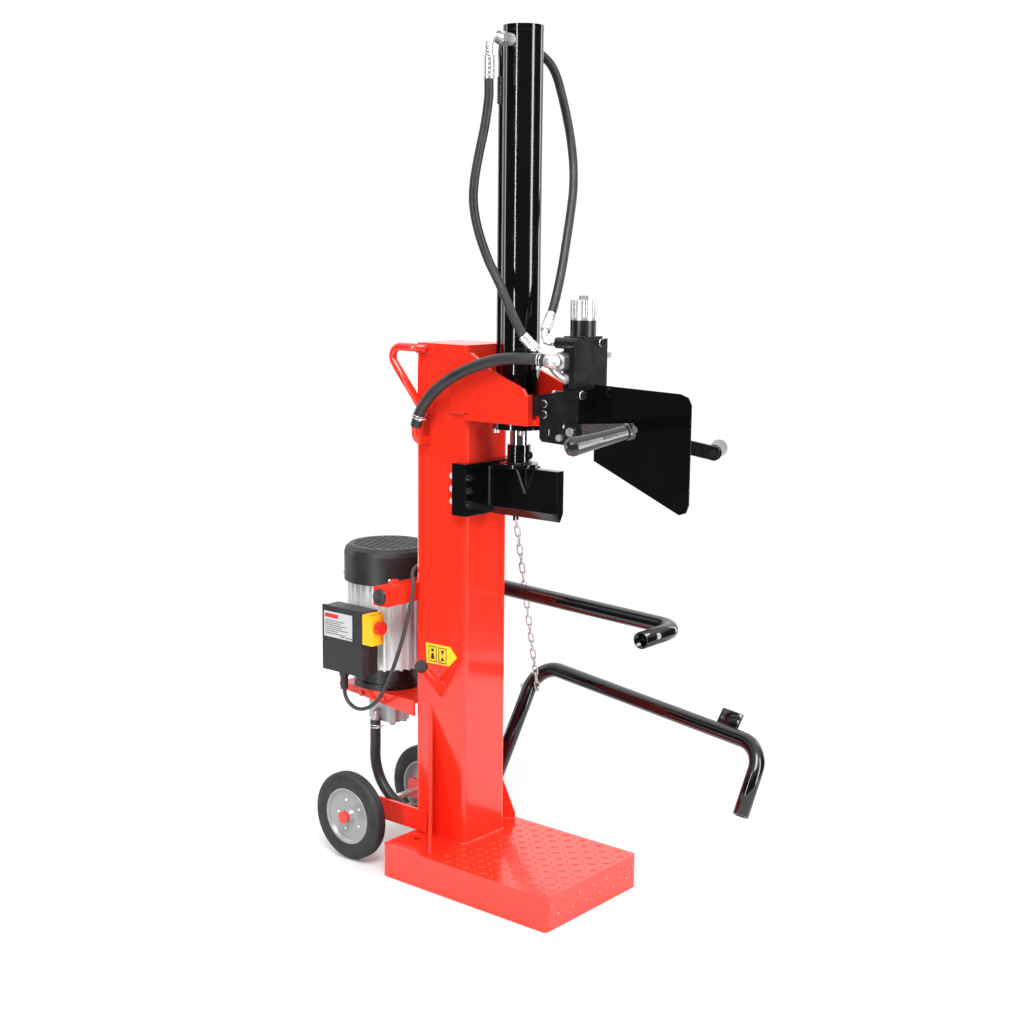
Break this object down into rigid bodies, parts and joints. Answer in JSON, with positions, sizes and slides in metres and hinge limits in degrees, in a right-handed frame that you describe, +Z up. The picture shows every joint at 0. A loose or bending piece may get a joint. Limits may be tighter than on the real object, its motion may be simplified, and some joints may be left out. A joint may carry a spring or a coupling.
{
  "type": "vertical log splitter",
  "caption": "Vertical electro-hydraulic log splitter with a wedge carriage on a tall column, two control levers, a support arm, a log lifter and transport wheels.",
  "frame": {"origin": "on the floor, under the middle of the base plate", "axes": "+Z up along the column; +Y towards the motor and wheels, -Y towards the log side; +X towards the log lifter"},
  "size_m": [0.652, 0.96, 1.86],
  "materials": {
    "red_paint": "gloss red paint on welded steel",
    "black_paint": "gloss black paint",
    "satin_black": "satin black paint",
    "chrome_rod": "hard chromed rod",
    "zinc": "zinc plated steel",
    "chain_zinc": "dull zinc plated links",
    "rim_grey": "silver-grey paint on pressed steel",
    "tyre": "solid rubber",
    "hose_rubber": "matte hydraulic hose rubber",
    "cable_rubber": "smooth cable sheath",
    "grip": "moulded black grips",
    "black_plastic": "fine-grained black moulding",
    "box_plastic": "grained dark grey box",
    "motor_alu": "cast aluminium fins",
    "pump_alu": "dull cast aluminium",
    "valve_alu": "machined aluminium",
    "pad_plastic": "pale sliding plastic",
    "copper": "varnished copper windings and steel core",
    "yellow_plastic": "yellow switch housing",
    "red_plastic": "red stop knob",
    "green_plastic": "green start button"
  },
  "bodies": {
    "frame": {"base": "red_paint", "column": "red_paint", "gussets": "red_paint", "lifter_hinge": "red_paint", "axle_brackets": "red_paint", "axle": "zinc", "axle_caps": "red_paint", "head": "red_paint", "handle": "red_paint", "barrel": "black_paint", "flange": "black_paint", "flange_bolts": "zinc", "pipe": "black_paint", "valve_bracket": "satin_black", "valve": "satin_black", "valve_cap": "valve_alu", "valve_cover": "satin_black", "hose_fittings": "zinc", "guard": "black_paint", "lever_pins": "zinc", "hose_upper": "hose_rubber", "hose_lower": "hose_rubber", "hose_return": "hose_rubber", "hose_pressure": "hose_rubber", "hose_suction": "hose_rubber", "tank_fittings": "red_paint", "arm_socket": "red_paint", "motor_bracket": "red_paint", "motor_flange": "satin_black", "motor_body": "motor_alu", "motor_cover": "black_plastic", "electric_boxes": "box_plastic", "pump": "pump_alu", "pump_elbows": "pump_alu", "switch_frame": "yellow_plastic", "cable": "cable_rubber"},
    "carriage": {"piston": "chrome_rod", "rod": "chrome_rod", "rod_coupling": "black_paint", "carriage_plate": "black_paint", "slide_pads": "pad_plastic", "carriage_bolts": "zinc", "blade": "black_paint", "chain": "chain_zinc"},
    "wheel_left": {"wheel_left_tyre": "tyre", "wheel_left_rim": "rim_grey"},
    "wheel_right": {"wheel_right_tyre": "tyre", "wheel_right_rim": "rim_grey"},
    "lever_left": {"lever_left": "satin_black", "grip_left": "grip"},
    "lever_right": {"lever_right": "satin_black", "grip_right": "grip"},
    "spool": {"spool": "zinc"},
    "filler_cap": {"filler_cap": "black_plastic"},
    "arm": {"support_arm": "black_paint"},
    "lifter": {"lifter_tube": "black_paint"},
    "rotor": {"rotor": "copper"},
    "switch_flap": {"switch_flap": "yellow_plastic"},
    "stop_knob": {"stop_knob": "red_plastic"},
    "start_button": {"start_button": "green_plastic"}
  },
  "joints": [
    {"name": "carriage_slide", "type": "slide", "parent": "frame", "child": "carriage", "axis": [0, 0, 1], "range_m": [-0.65, 0.033], "deforming": ["chain"]},
    {"name": "wheel_left_spin", "type": "hinge", "parent": "frame", "child": "wheel_left", "pos_m": [-0.138, 0.362, 0.105], "axis": [1, 0, 0], "continuous": true},
    {"name": "wheel_right_spin", "type": "hinge", "parent": "frame", "child": "wheel_right", "pos_m": [0.124, 0.362, 0.105], "axis": [1, 0, 0], "continuous": true},
    {"name": "lifter_hinge", "type": "hinge", "parent": "frame", "child": "lifter", "pos_m": [0.183, 0.215, 0.098], "axis": [0, 1, 0], "range_deg": [-33, 69]},
    {"name": "arm_slide", "type": "slide", "parent": "frame", "child": "arm", "axis": [1, 0, 0], "range_m": [0, 0.03]},
    {"name": "lever_left_hinge", "type": "hinge", "parent": "frame", "child": "lever_left", "pos_m": [-0.047, -0.194, 1.037], "axis": [1, 0, 0], "range_deg": [0, 22], "stiffness_Nm_per_rad": 12, "springref_deg": -8.59},
    {"name": "lever_right_hinge", "type": "hinge", "parent": "frame", "child": "lever_right", "pos_m": [0.083, -0.194, 1.037], "axis": [1, 0, 0], "range_deg": [0, 16], "stiffness_Nm_per_rad": 12, "springref_deg": -8.59},
    {"name": "spool_slide", "type": "slide", "parent": "frame", "child": "spool", "axis": [0, 0, 1], "range_m": [-0.008, 0]},
    {"name": "filler_cap_turn", "type": "hinge", "parent": "frame", "child": "filler_cap", "pos_m": [-0.042, 0.159, 0.418], "axis": [-0.7071, 0, 0.7071], "continuous": true},
    {"name": "rotor_spin", "type": "hinge", "parent": "frame", "child": "rotor", "pos_m": [0.018, 0.388, 0.5], "axis": [0, 0, 1], "continuous": true},
    {"name": "flap_hinge", "type": "hinge", "parent": "frame", "child": "switch_flap", "pos_m": [-0.1085, 0.309, 0.5883], "axis": [-1, 0, 0], "range_deg": [0, 60], "stiffness_Nm_per_rad": 0.05, "springref_deg": -17.19},
    {"name": "stop_knob_press", "type": "slide", "parent": "switch_flap", "child": "stop_knob", "axis": [0, 1, 0], "range_m": [0, 0.0027], "stiffness_N_per_m": 600, "springref_m": -0.001},
    {"name": "start_button_press", "type": "slide", "parent": "frame", "child": "start_button", "axis": [0, 1, 0], "range_m": [0, 0.0025], "stiffness_N_per_m": 600, "springref_m": -0.001}
  ],
  "couplings": [
    {"joint": "spool_slide", "follows": "lever_left_hinge", "m_per_rad": -0.02}
  ]
}
